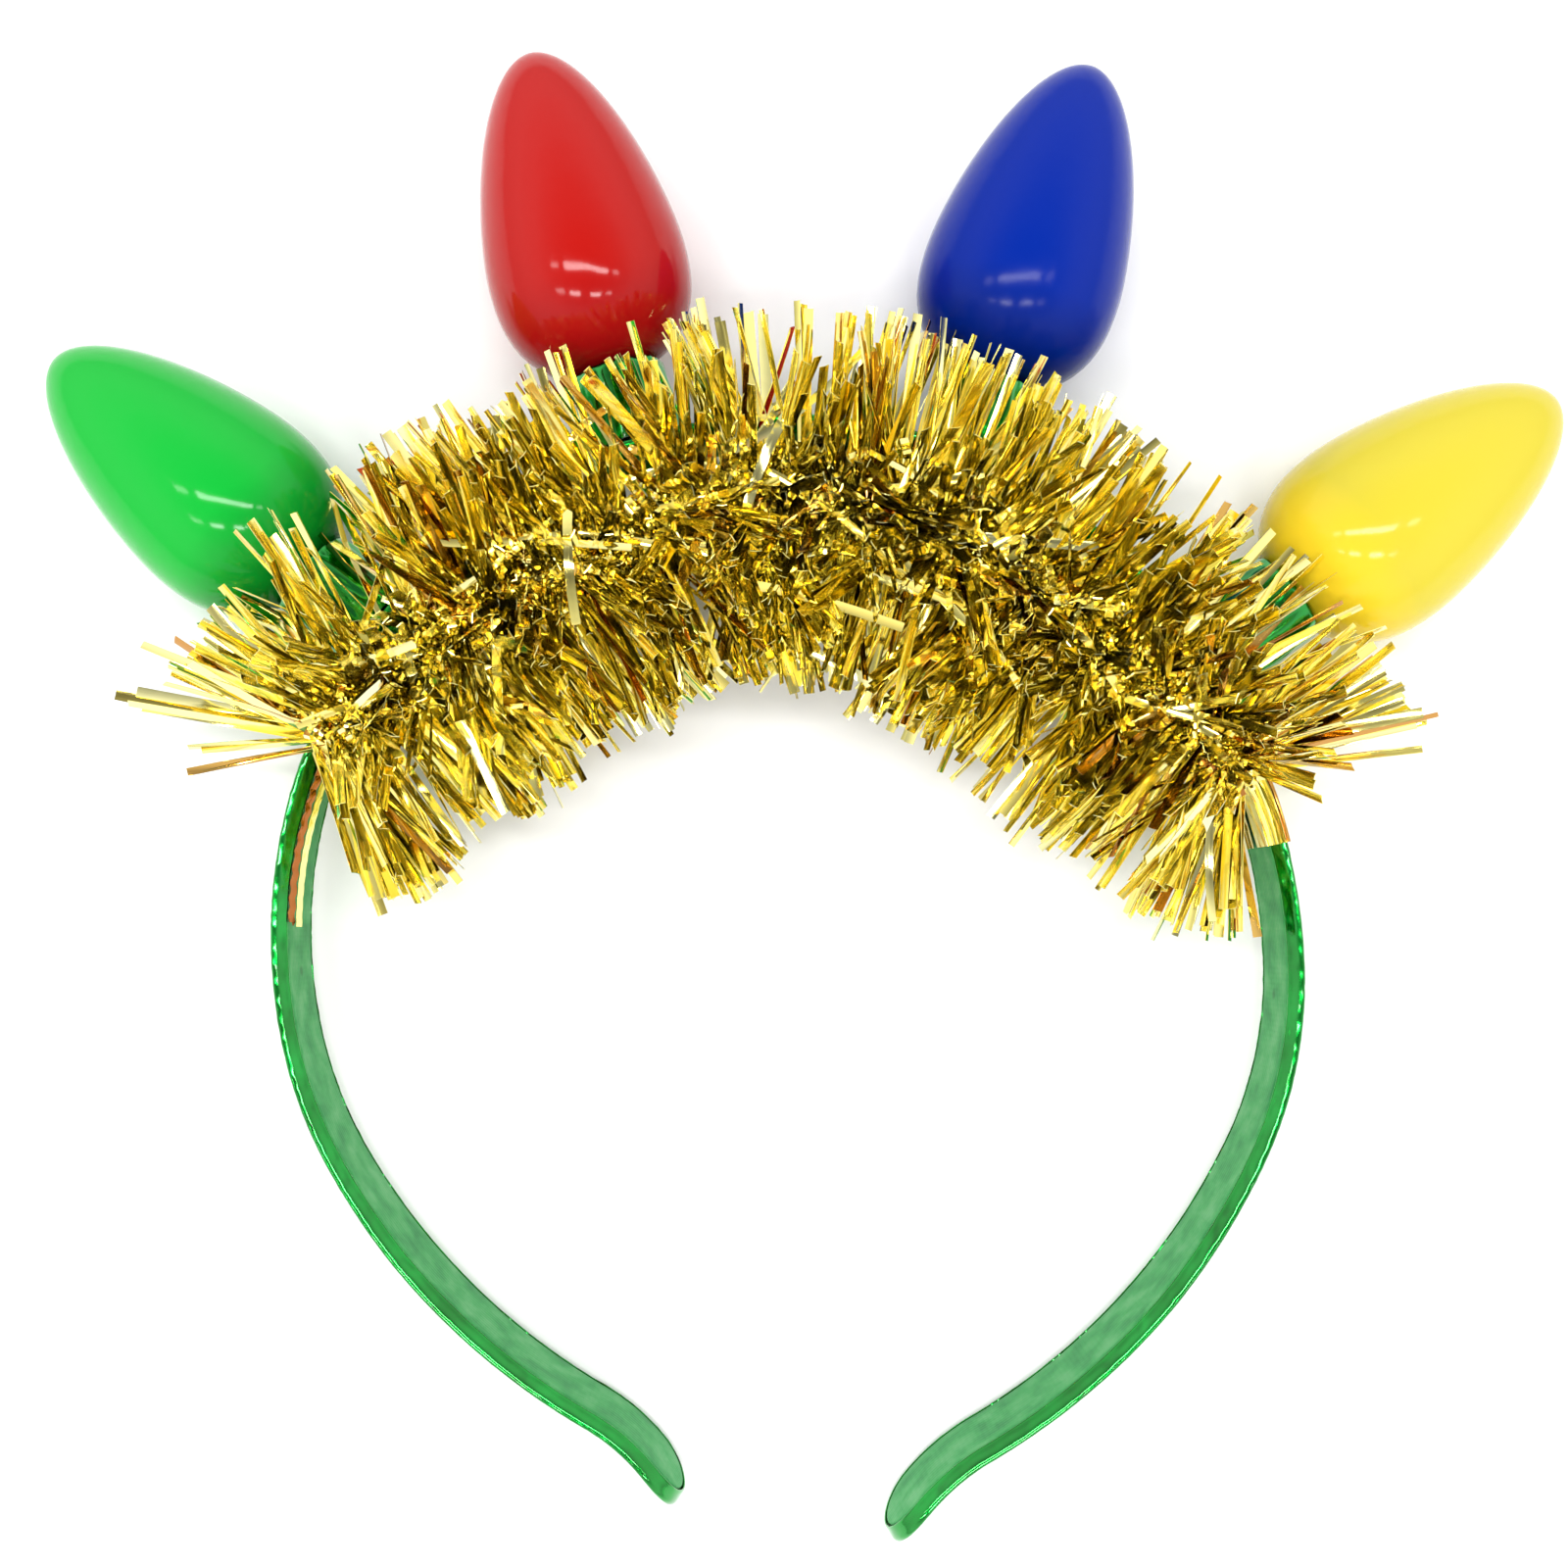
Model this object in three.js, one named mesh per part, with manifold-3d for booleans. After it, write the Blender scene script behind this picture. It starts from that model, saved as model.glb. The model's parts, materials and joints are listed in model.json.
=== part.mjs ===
// Light bulb headband: a foil covered hoop with a cloth lining, four hollow moulded bulbs in foil covered
// cups, and a gold tinsel garland from shoulder to shoulder. Millimetres, +Z up, lying on its side.
// The pieces are made in the hoop's own plane, x to the right, y towards the crown and z across the band,
// with the crown of the outer face at the origin. A last group tips the whole into its resting place.
import * as THREE from 'three';
import { mergeVertices } from 'three/addons/utils/BufferGeometryUtils.js';
import Module from 'manifold-3d';

const wasm = await Module();
wasm.setup();

// Gap between pieces that touch.
const clearance = 0.3;

// Hoop: radius of the outer face at the left of the crown, and the strip that it is bent from.
const hoopRadius = 65;
const bandWidth = 13;
const bandThickness = 2.5;
const edgeRound = 0.8;
const edgeRoundSteps = 2;
const facetTurn = 7;

// Lining: a tape in a shallow channel between two foil hems.
const hemWidth = 1.1;
const channelDepth = 1.3;

// Cups and bulbs. The nose is the stretch from the tip to the widest ring, the heel from there to the neck.
const socketRadius = 6.2;
const socketTaper = 0.4;
const socketHeight = 12;
const socketWall = 1.2;
const socketDepth = 6;
const socketSides = 20;
const bulbRadius = 13.2;
const bulbNose = 29.5;
const bulbHeel = 14;
const heelFade = 15.6;
const bulbWall = 1;
const neckWall = 1.2;
const bulbSides = 18;
const noseRows = 6;
const heelRows = 3;

// Exponents of the bulb's outline, for the pointed nose and the round heel.
const noseCurve = { power: 1.6, root: 0.57 };
const heelCurve = { power: 2.15, root: 0.5 };

// Tinsel: a core cord on the upper edge of the band, with locks of foil strips all round it.
const garlandReach = 80;
const garlandInset = 12;
const coreRadius = 2.5;
const coreSides = 8;
const coreSteps = 40;
const lockLength = 23;
const lockThickness = 0.8;
const lockRootWidth = 1.8;
const lockTipWidth = 4.6;
const lockSlant = 1.6;
const lockSpacing = 6;
const locksRound = 7;
const lockTwist = 19;
const lockLean = 11;
const endLean = 24;
const wrapLength = 8;
const wrapWall = 0.4;
const tailLength = 22;
const tailWidth = 2;
const tailThickness = 0.8;

// Arcs of the outer face from the crown to a leg tip. Radius is a share of hoopRadius, sweep is in
// degrees, and a negative sweep turns outwards.
const leftArcs = [
  { radius: 1.0, sweep: 104 },
  { radius: 0.865, sweep: 19 },
  { radius: 1.365, sweep: 29 },
  { radius: 0.4, sweep: -34.5 },
];
const rightArcs = [
  { radius: 0.925, sweep: 45 },
  { radius: 1.185, sweep: 42 },
  { radius: 0.8, sweep: 28 },
  { radius: 1.34, sweep: 33.5 },
  { radius: 0.46, sweep: -32 },
];

// Bulbs: seat is the distance from the crown along the outer face as a share of hoopRadius, left is
// negative, lean is the axis's turn from +y towards +x in degrees, and height is a share of socketHeight.
const bulbs = [
  { name: 'green', colour: '#2ad84f', seat: -0.983, lean: -51.9, height: 0.99 },
  { name: 'red', colour: '#d41f22', seat: -0.343, lean: -16.8, height: 0.87 },
  { name: 'blue', colour: '#0b32b0', seat: 0.329, lean: 16.5, height: 0.92 },
  { name: 'yellow', colour: '#fadb3c', seat: 0.962, lean: 52.2, height: 1.21 },
];

// Route of the garland's core: along is a share of garlandReach from the crown to either side, and
// inset, measured inwards from the outer face, is a share of garlandInset.
const garlandRoute = [
  { along: 0, inset: 0.9 },
  { along: 0.28, inset: 1.0 },
  { along: 0.5, inset: 1.02 },
  { along: 0.7, inset: 0.85 },
  { along: 0.86, inset: 0.5 },
  { along: 1, inset: 0.3 },
];

// Shares of lockLength that are tried, longest first, until a lock is clear of its neighbours.
const lockTrims = [1, 0.9, 0.8, 0.7, 0.6, 0.5, 0.4, 0.3];

const finishes = {
  foil: { color: '#1ea84a', roughness: 0.3, metalness: 0.7 },
  lining: { color: '#57a86c', roughness: 0.85, metalness: 0 },
  tinsel: { color: '#d9ac2c', roughness: 0.28, metalness: 0.85 },
};

const radians = THREE.MathUtils.degToRad;
const halfWidth = bandWidth / 2;

// Turns a closed geometry into a solid, without the collapsed triangles at a lathe's poles.
function solidOf(geometry) {
  const bare = geometry.clone();
  bare.deleteAttribute('normal');
  bare.deleteAttribute('uv');
  const merged = mergeVertices(bare);
  const corners = merged.index.array;
  const kept = [];
  for (let i = 0; i < corners.length; i += 3) {
    const [a, b, c] = [corners[i], corners[i + 1], corners[i + 2]];
    if (a !== b && b !== c && c !== a) kept.push(a, b, c);
  }
  return new wasm.Manifold(new wasm.Mesh({
    numProp: 3,
    vertProperties: merged.attributes.position.array,
    triVerts: new Uint32Array(kept),
  }));
}

function geometryOf(solid) {
  const mesh = solid.getMesh();
  const geometry = new THREE.BufferGeometry();
  geometry.setAttribute('position', new THREE.BufferAttribute(mesh.vertProperties, 3));
  geometry.setIndex(new THREE.BufferAttribute(mesh.triVerts, 1));
  geometry.computeVertexNormals();
  return geometry;
}

function meshOf(name, geometry, finish) {
  const mesh = new THREE.Mesh(geometry, new THREE.MeshStandardMaterial(finish));
  mesh.name = name;
  return mesh;
}

// Stations of the outer face from the crown to one leg tip, each with its inward normal.
function walkArcs(arcs, side) {
  const stations = [{ x: 0, y: 0, heading: 0, along: 0 }];
  for (const arc of arcs) {
    const steps = Math.ceil(Math.abs(arc.sweep) / facetTurn);
    const turn = radians(arc.sweep / steps);
    const radius = arc.radius * hoopRadius;
    const chord = 2 * radius * Math.sin(Math.abs(turn) / 2);
    for (let i = 0; i < steps; i += 1) {
      const last = stations.at(-1);
      const course = last.heading + turn / 2;
      stations.push({
        x: last.x + side * chord * Math.cos(course),
        y: last.y - chord * Math.sin(course),
        heading: last.heading + turn,
        along: last.along + side * radius * Math.abs(turn),
      });
    }
  }
  return stations.map(({ x, y, heading, along }) => ({
    x, y, along, inX: -side * Math.sin(heading), inY: -Math.cos(heading),
  }));
}

const outerFace = [...walkArcs(leftArcs, -1).reverse(), ...walkArcs(rightArcs, 1).slice(1)];

// The point of the outer face at a distance along it, on the facet that lies there.
function faceAt(along) {
  const next = Math.max(1, outerFace.findIndex((station) => station.along >= along));
  const [a, b] = [outerFace[next - 1], outerFace[next]];
  const share = (along - a.along) / (b.along - a.along);
  const mix = (key) => THREE.MathUtils.lerp(a[key], b[key], share);
  const inward = new THREE.Vector2(mix('inX'), mix('inY')).normalize();
  return { x: mix('x'), y: mix('y'), along, inX: inward.x, inY: inward.y };
}

// The place that lies a depth below the outer face at a distance along it.
function placeAt(along, depth, z) {
  const station = faceAt(along);
  return new THREE.Vector3(station.x + station.inX * depth, station.y + station.inY * depth, z);
}

// A strip bent along the hoop between two depths below the outer face, centred across the band.
function bentStrip({ outer, inner, width, round = 0, from = -Infinity, to = Infinity }) {
  const inside = outerFace.filter(({ along }) => along > from && along < to);
  const stations = [...inside];
  if (from > -Infinity) stations.unshift(faceAt(from));
  if (to < Infinity) stations.push(faceAt(to));
  const offset = (depth) => ({ x, y, inX, inY }) => new THREE.Vector2(x + inX * depth, y + inY * depth);
  const outline = [...stations.map(offset(inner)), ...stations.map(offset(outer)).reverse()];
  const geometry = new THREE.ExtrudeGeometry(new THREE.Shape(outline), {
    depth: width - 2 * round,
    bevelEnabled: round > 0,
    bevelThickness: round,
    bevelSize: round,
    bevelOffset: -round,
    bevelSegments: edgeRoundSteps,
  });
  return geometry.translate(0, 0, round - width / 2);
}

// What is cut off a leg tip to round it: a block round the tip's end, without the round of that radius.
function tipCorners(station, radius) {
  const reach = bandWidth;
  const height = 4 * bandThickness;
  const block = new THREE.BoxGeometry(reach, height, 2 * reach).translate(reach / 2, 0, 0);
  const round = new THREE.CylinderGeometry(radius, radius, 2 * height, 24);
  const inward = new THREE.Vector3(station.inX, station.inY, 0);
  const end = new THREE.Vector3(-station.inY, station.inX, 0).multiplyScalar(Math.sign(station.along));
  const turn = new THREE.Matrix4().makeBasis(end, inward, end.clone().cross(inward));
  turn.setPosition(placeAt(station.along, bandThickness / 2, 0));
  return solidOf(block.applyMatrix4(turn)).subtract(solidOf(round.applyMatrix4(turn)));
}

// Rounds both ends of a strip that runs from tip to tip, leaving a margin to the band's own outline.
function roundedStrip(sizes, margin) {
  const ends = [outerFace[0], outerFace.at(-1)];
  return ends.reduce((strip, end) => {
    const centre = faceAt(end.along - Math.sign(end.along) * halfWidth);
    return strip.subtract(tipCorners(centre, halfWidth - margin));
  }, solidOf(bentStrip(sizes)));
}

function makeHeadband() {
  const strip = roundedStrip({ outer: 0, inner: bandThickness, width: bandWidth, round: edgeRound }, 0);
  const channel = roundedStrip({
    outer: bandThickness - channelDepth,
    inner: bandThickness + channelDepth,
    width: bandWidth - 2 * hemWidth,
  }, hemWidth);
  return geometryOf(strip.subtract(channel));
}

function makeLining() {
  const margin = hemWidth + clearance;
  return geometryOf(roundedStrip({
    outer: bandThickness - channelDepth + clearance,
    inner: bandThickness,
    width: bandWidth - 2 * margin,
  }, margin));
}

// The bulb's radius at a distance from its widest ring, positive towards the tip.
function bulbRadiusAt(distance) {
  const nose = distance > 0;
  const share = Math.min(1, Math.abs(distance) / (nose ? bulbNose : heelFade));
  const { power, root } = nose ? noseCurve : heelCurve;
  return bulbRadius * (1 - share ** power) ** root;
}

// A bulb's lathe along +y, from the rim of its cup: a shell with an open neck that stands in the cup.
function makeBulb(grow = 0) {
  const ringHeight = clearance + bulbHeel;
  const neck = socketRadius - socketWall - clearance;
  const neckEnd = clearance - socketDepth + 2 * clearance;
  const outline = (shrink, rows) => rows.map((distance) => new THREE.Vector2(
    Math.max(0, bulbRadiusAt(distance) - shrink),
    ringHeight + distance * (1 - shrink / bulbNose),
  ));
  const steps = (count, reach) => Array.from({ length: count + 1 }, (_, i) => reach * Math.sin((i / count) * Math.PI / 2));
  const noseDown = steps(noseRows, bulbNose).reverse();
  const heelDown = steps(heelRows, -bulbHeel).slice(1);
  const outer = outline(-grow, [...noseDown, ...heelDown]);
  outer[0].x = 0;
  if (grow > 0) {
    outer[0].y += grow;
    return new THREE.LatheGeometry([new THREE.Vector2(0, clearance), ...outer.reverse()], bulbSides);
  }
  const inner = outline(bulbWall, [...noseDown.filter((_, i) => i % 2 === 0), ...heelDown.slice(0, -1)]);
  inner[0].x = 0;
  const shell = [
    ...inner,
    new THREE.Vector2(neck - neckWall, clearance + bulbWall),
    new THREE.Vector2(neck - neckWall, neckEnd),
    new THREE.Vector2(neck, neckEnd),
    new THREE.Vector2(neck, clearance),
    ...outer.reverse(),
  ];
  return new THREE.LatheGeometry(shell, bulbSides);
}

// A cup along +y with its rim at the origin, long enough to be cut to the band's outer face.
function makeCup(height, grow = 0) {
  const foot = -height - 2 * bandThickness;
  const outline = [
    new THREE.Vector2(0, foot),
    new THREE.Vector2(socketRadius + socketTaper + grow, foot),
    new THREE.Vector2(socketRadius + socketTaper + grow, -height),
    new THREE.Vector2(socketRadius + grow, grow),
  ];
  if (grow > 0) return new THREE.LatheGeometry([...outline, new THREE.Vector2(0, grow)], socketSides);
  return new THREE.LatheGeometry([
    ...outline,
    new THREE.Vector2(socketRadius - socketWall, 0),
    new THREE.Vector2(socketRadius - socketWall, -socketDepth),
    new THREE.Vector2(0, -socketDepth),
  ], socketSides);
}

// One cup with its bulb, placed on the outer face. The cup's foot is cut to the face it stands on.
function makeSeat({ name, colour, seat, lean, height }) {
  const along = seat * hoopRadius;
  const rimHeight = height * socketHeight;
  const group = new THREE.Group();
  const outward = new THREE.Vector3(Math.sin(radians(lean)), Math.cos(radians(lean)), 0);
  group.position.copy(placeAt(along, 0, 0)).addScaledVector(outward, rimHeight);
  group.rotation.z = -radians(lean);
  group.updateMatrix();
  const belowFace = bentStrip({
    outer: -clearance,
    inner: 8 * bandThickness,
    width: 2 * bandWidth,
    from: along - bandWidth,
    to: along + bandWidth,
  });
  belowFace.applyMatrix4(group.matrix.clone().invert());
  const cup = geometryOf(solidOf(makeCup(rimHeight)).subtract(solidOf(belowFace)));
  const bulb = geometryOf(solidOf(makeBulb()));
  group.add(meshOf(`socket_${name}`, cup, finishes.foil));
  group.add(meshOf(`bulb_${name}`, bulb, { color: colour, roughness: 0.18, metalness: 0 }));
  return { group, rimHeight };
}

// The angle at which the hoop lies on its side, on its leg tips and its lowest bulbs.
function restTilt(seats) {
  const rings = seats.map(({ group }) => (
    new THREE.Vector3(0, clearance + bulbHeel, 0).applyMatrix4(group.matrix).y
  ));
  const tips = [outerFace[0], outerFace.at(-1)].map(({ along }) => (
    placeAt(along - Math.sign(along) * halfWidth, bandThickness / 2, 0).y
  ));
  const reach = Math.min(...rings) - (tips[0] + tips[1]) / 2;
  return Math.asin((bulbRadius - halfWidth) / reach);
}

// The garland's core curve, just above the upper edge of the band.
function garlandCurve() {
  const height = halfWidth + clearance + coreRadius;
  const side = (sign) => garlandRoute.map(({ along, inset }) => (
    placeAt(sign * along * garlandReach, inset * garlandInset, height)
  ));
  return new THREE.CatmullRomCurve3([...side(-1).reverse(), ...side(1).slice(1)]);
}

function polygonShape(radius, sides) {
  const corners = Array.from({ length: sides }, (_, i) => {
    const angle = (i + 0.5) * 2 * Math.PI / sides;
    return new THREE.Vector2(radius * Math.cos(angle), radius * Math.sin(angle));
  });
  return new THREE.Shape(corners);
}

// One lock of foil strips: a flat blade that widens from its root to a slanted end.
function makeLock(length, slant) {
  const blade = new THREE.Shape([
    new THREE.Vector2(0, -lockRootWidth / 2),
    new THREE.Vector2(length - slant, -lockTipWidth / 2),
    new THREE.Vector2(length + slant, lockTipWidth / 2),
    new THREE.Vector2(0, lockRootWidth / 2),
  ]);
  const geometry = new THREE.ExtrudeGeometry(blade, { depth: lockThickness, bevelEnabled: false });
  return geometry.translate(0, 0, -lockThickness / 2);
}

// Where a lock stands: its root on the core, its direction, and its width along the core.
function lockFrame(root, tangent, turn, lean) {
  const up = new THREE.Vector3(0, 0, 1);
  const across = new THREE.Vector3().crossVectors(up, tangent).normalize();
  const radial = up.multiplyScalar(Math.sin(turn)).addScaledVector(across, Math.cos(turn));
  const direction = radial.multiplyScalar(Math.cos(lean)).addScaledVector(tangent, Math.sin(lean));
  const flat = new THREE.Vector3().crossVectors(direction, tangent).normalize();
  const wide = new THREE.Vector3().crossVectors(flat, direction);
  return new THREE.Matrix4().makeBasis(direction, wide, flat).setPosition(root);
}

// What the garland stays clear of: the band, the wrap, the loose strip, the cups, the bulbs and the floor.
function keepOut(seats, tilt) {
  const hull = clearance + wrapWall + clearance;
  const parts = [
    bentStrip({ outer: -clearance, inner: bandThickness + clearance, width: bandWidth + 2 * clearance }),
    bentStrip({ outer: -hull, inner: bandThickness + hull, width: bandWidth + 2 * hull, ...wrapSpan(clearance) }),
    tailStrip(clearance),
  ];
  for (const { group, rimHeight } of seats) {
    parts.push(makeBulb(clearance).applyMatrix4(group.matrix));
    parts.push(makeCup(rimHeight, clearance).applyMatrix4(group.matrix));
  }
  const tips = [outerFace[0], outerFace.at(-1)].map(({ along }) => (
    placeAt(along - Math.sign(along) * halfWidth, bandThickness / 2, -halfWidth).y
  ));
  const floor = new THREE.BoxGeometry(8 * hoopRadius, 8 * hoopRadius, hoopRadius);
  floor.translate(0, 0, clearance - hoopRadius / 2);
  floor.applyMatrix4(new THREE.Matrix4().makeRotationX(-tilt));
  floor.translate(0, (tips[0] + tips[1]) / 2, -halfWidth);
  parts.push(floor);
  return parts.map(solidOf).reduce((all, part) => all.add(part));
}

function makeGarland(seats, tilt) {
  const curve = garlandCurve();
  const core = new THREE.ExtrudeGeometry(polygonShape(coreRadius, coreSides), {
    steps: coreSteps,
    extrudePath: curve,
    bevelEnabled: false,
  });
  const obstacles = keepOut(seats, tilt);
  const rings = Math.round(curve.getLength() / lockSpacing);
  let garland = solidOf(core);
  for (let ring = 0; ring <= rings; ring += 1) {
    const share = THREE.MathUtils.lerp(0.008, 0.992, ring / rings);
    const towardsEnd = 2 * share - 1;
    for (let i = 0; i < locksRound; i += 1) {
      const turn = 2 * Math.PI * i / locksRound + radians(lockTwist) * ring;
      const sway = radians(lockLean) * Math.sin(2.4 * ring + 1.9 * i);
      const lean = sway + radians(endLean) * towardsEnd ** 7;
      const slant = lockSlant * (i % 2 === 0 ? 1 : -1);
      const frame = lockFrame(curve.getPointAt(share), curve.getTangentAt(share), turn, lean);
      const lock = clearLock(frame, slant, obstacles);
      if (lock) garland = garland.add(lock);
    }
  }
  return geometryOf(garland);
}

// The longest lock at a place that is clear of its neighbours, if one is.
function clearLock(frame, slant, obstacles) {
  for (const trim of lockTrims) {
    const lock = solidOf(makeLock(trim * lockLength, slant * trim).applyMatrix4(frame));
    if (lock.intersect(obstacles).isEmpty()) return lock;
  }
  return null;
}

// The stretch of the band that the foil wrap covers, next to the garland's right end.
function wrapSpan(extra) {
  const start = garlandReach + clearance;
  return { from: start - extra, to: start + wrapLength + extra };
}

function makeWrap() {
  const shell = clearance + wrapWall;
  const outside = bentStrip({
    outer: -shell, inner: bandThickness + shell, width: bandWidth + 2 * shell, ...wrapSpan(0),
  });
  const passage = bentStrip({
    outer: -clearance,
    inner: bandThickness + clearance,
    width: bandWidth + 2 * clearance,
    ...wrapSpan(wrapWall),
  });
  return geometryOf(solidOf(outside).subtract(solidOf(passage)));
}

// The loose strip on the lining, near the band's upper edge, and so much larger all round.
function tailStrip(extra) {
  const strip = bentStrip({
    outer: bandThickness + clearance - extra,
    inner: bandThickness + clearance + tailThickness + extra,
    width: tailWidth + 2 * extra,
    from: -garlandReach - tailLength,
    to: -garlandReach,
  });
  return strip.translate(0, 0, halfWidth - hemWidth - tailWidth / 2);
}

const seats = bulbs.map(makeSeat);
const tilt = restTilt(seats);

const hoop = new THREE.Group();
hoop.add(meshOf('headband', makeHeadband(), finishes.foil));
hoop.add(meshOf('lining', makeLining(), finishes.lining));
hoop.add(...seats.map(({ group }) => group));
hoop.add(meshOf('tinsel_garland', makeGarland(seats, tilt), finishes.tinsel));
hoop.add(meshOf('tinsel_wrap', makeWrap(), finishes.tinsel));
hoop.add(meshOf('tinsel_tail', geometryOf(solidOf(tailStrip(0))), finishes.tinsel));
hoop.rotation.x = tilt;

// The resting place: centred over the origin, with the lowest point on the floor.
const headpiece = new THREE.Group();
headpiece.add(hoop);
headpiece.updateMatrixWorld(true);
const box = new THREE.Box3().setFromObject(headpiece, true);
const middle = box.getCenter(new THREE.Vector3());
headpiece.position.set(-middle.x, -middle.y, -box.min.z);
headpiece.updateMatrixWorld(true);

export default headpiece;
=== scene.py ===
# Looks of the light bulb headband, lying on its side: a foil covered hoop with a cloth lining, four moulded
# bulbs in foil covered cups, and a garland of gold tinsel. Pieces are made in millimetres in the hoop's own
# frame, x to the right, y towards the crown and z across the band, with the crown of the outer face at the
# origin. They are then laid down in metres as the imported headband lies.
import json
import math

import bpy
import numpy as np
from mathutils import Matrix, Vector, noise


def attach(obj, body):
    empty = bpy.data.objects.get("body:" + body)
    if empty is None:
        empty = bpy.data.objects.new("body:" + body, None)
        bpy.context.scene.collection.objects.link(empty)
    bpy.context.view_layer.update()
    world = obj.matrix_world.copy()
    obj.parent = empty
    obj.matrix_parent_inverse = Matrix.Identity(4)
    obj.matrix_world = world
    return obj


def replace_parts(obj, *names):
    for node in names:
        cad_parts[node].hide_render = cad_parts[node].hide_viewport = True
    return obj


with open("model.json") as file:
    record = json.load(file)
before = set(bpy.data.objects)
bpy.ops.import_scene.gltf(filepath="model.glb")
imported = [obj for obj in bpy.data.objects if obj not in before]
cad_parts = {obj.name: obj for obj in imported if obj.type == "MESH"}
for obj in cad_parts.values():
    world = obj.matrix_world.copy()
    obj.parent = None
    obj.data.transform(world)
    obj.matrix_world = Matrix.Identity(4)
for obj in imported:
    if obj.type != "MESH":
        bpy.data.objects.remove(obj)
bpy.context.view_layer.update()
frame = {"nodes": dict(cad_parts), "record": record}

# A millimetre in metres, and the clearance between pieces that touch.
mm = 0.001
gap = 0.3

# The band, and the lining in its channel.
hoop_radius = 65
band_width = 13
band_thickness = 2.5
outer_round = 0.5
hem_width = 1.1
channel_depth = 1.3
lining_round = 0.25
station_step = 0.25
half_width = band_width / 2

# Down the legs the upper edge is thinner than the lower one, and towards the tips it stands further out:
# distance from the crown, the share of the thickness that goes, and the way out.
leg_thinning = {"along": (70, 95), "share": (0, 0.2)}
leg_flare = {"along": (70, 110, 150), "out": (0, 0.3, 1.0)}

# The foil's fall from the crest of the band's edge to its hem: margin from the edge, and depth.
edge_fall = (
    (0, 0.85),
    (0.1, 1.1),
    (0.26, 1.4),
    (0.45, 1.7),
    (0.62, 2.0),
    (0.75, 2.25),
    (0.85, 2.42),
    (0.95, 2.5),
)
hem_lip = 0.08

# The foil's crinkles: their height, their size along, across and through the band, and how they calm down
# towards the tips, by distance from the crown.
crinkle_height = 0.14
crinkle_grain = (1.7, 2.0, 2.0)
crinkle_calm = {"along": (100, 150), "share": (1, 0.35)}

# Height of the fine creases in the foil's surface.
crease_heights = {"band": 0.2, "cups": 0.3}

# Small dark marks on the lining: along the hoop, across it, and at the inner face.
lining_specks = ((-110.5, 0.0, -band_thickness), (108.0, 0.5, -band_thickness))
lining_thread = 0.35

# Cups and bulbs.
socket_radius = 6.2
socket_taper = 0.4
socket_height = 12
socket_wall = 1.2
socket_depth = 6
bulb_radius = 13.2
bulb_nose = 29.5
bulb_heel = 14
heel_fade = 15.2
nose_curve = {"power": 1.5, "root": 0.53}
heel_curve = {"power": 2.6, "root": 0.5}
neck_shoulder = {"out": 0.4, "down": 0.3}

# The cup's rim, from its wall to its top: in from the wall, and down from the top.
cup_rim = ((0, 0.4), (0.15, 0.1), (0.5, 0))

# The cup's pleats: folds round it, length of a fold down it, finer folds, height, and the noise's middle.
pleats = {"round": 3.2, "down": 9, "finer": 2.6, "height": 0.65, "middle": 0.25}

# Room that strips leave for the pleats, and for the wrap and a little past its ends.
pleat_room = 0.5
wrap_room = 0.8
wrap_margin = 1

# The garland, the foil wrap at its right end and the loose strips at its left end.
garland_reach = 80
garland_inset = 12
core_height = half_width + gap + 2.5
wrap_length = 8
tail_length = 22

# Its strips: how long, wide and thick they are, how deep their fold is, how far they keep from their
# neighbours, how much they go their own way and the way they are pushed, and how they curl and twist.
strip_length = 24.5
strip_thickness = 0.07
strip_fold = 0.05
strip_widths = (0.8, 1.4)
strip_clearance = 0.6
strip_way = {"own": 0.55, "pushed": 0.45}
strip_curl = 0.4
strip_twist = math.radians(30)

# They stand in locks, which turn round the core one after the other, and fan out at the ends by so many
# degrees. Strips that stand straight up or down are shorter by a small share.
lock_count = 215
strips_in_lock = 7
lock_turn = math.radians(137.5)
end_fan = {"outer": 10, "inner": 12}
end_limit = {"outer": 26, "inner": 24}
fan_power = 7
upright_loss = 0.07

# Uneven growth of whole locks, and of the strips in each: turn round the core and facing in radians, lean in
# degrees, share of the core's length, share of strip_length, and shift of the root in millimetres.
lock_scatter = {"turn": 0.3, "lean": 13, "reach": (0.9, 1.05)}
strip_scatter = {"turn": 0.12, "facing": 0.55, "lean": 4, "share": 0.007, "reach": (0.93, 1.03), "root": 0.7}

# Tones run from 0, copper, to 1, pale gold. A few strips are coppery.
copper_share = 0.05
copper_tones = (0, 0.06)
gold_tones = (0.15, 1)

# Starts of the random draws.
seeds = {"strips": 11, "strays": 23, "scraps": 37, "wrap": 41}

# The thick locks at each end: turn round the core from the outer side in degrees, lean past the end, how
# many strips, and a share of their length.
end_locks = {
    "left": (
        (4, -8, 7, 0.86),
        (0, 3, 14, 0.88),
        (3, 11, 7, 0.86),
        (6, 38, 2, 0.72),
        (6, 47, 2, 0.7),
        (180, 34, 12, 0.9),
        (172, 20, 12, 0.92),
        (165, 8, 10, 0.95),
        (150, 24, 8, 0.88),
    ),
    "right": (
        (0, -2, 6, 0.94),
        (0, 6, 6, 0.94),
        (4, 13, 5, 0.95),
        (4, 18, 3, 0.97),
        (180, 54, 6, 0.84),
        (178, 42, 10, 0.87),
        (172, 26, 12, 0.9),
        (160, 14, 8, 0.94),
        (150, 40, 6, 0.84),
    ),
}

# How far the strips stand back from each end of the core, as a share of its length.
end_gap = {"left": 0.004, "right": 0.02}

# Stretches where the crown and the cups show between the strips: a share of the core's length, how far it
# reaches each way, and one lock in how many stays whole.
bare_stretches = ((0.1, 0.035, 4), (0.36, 0.028, 2), (0.5, 0.035, 3), (0.89, 0.032, 3))

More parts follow.
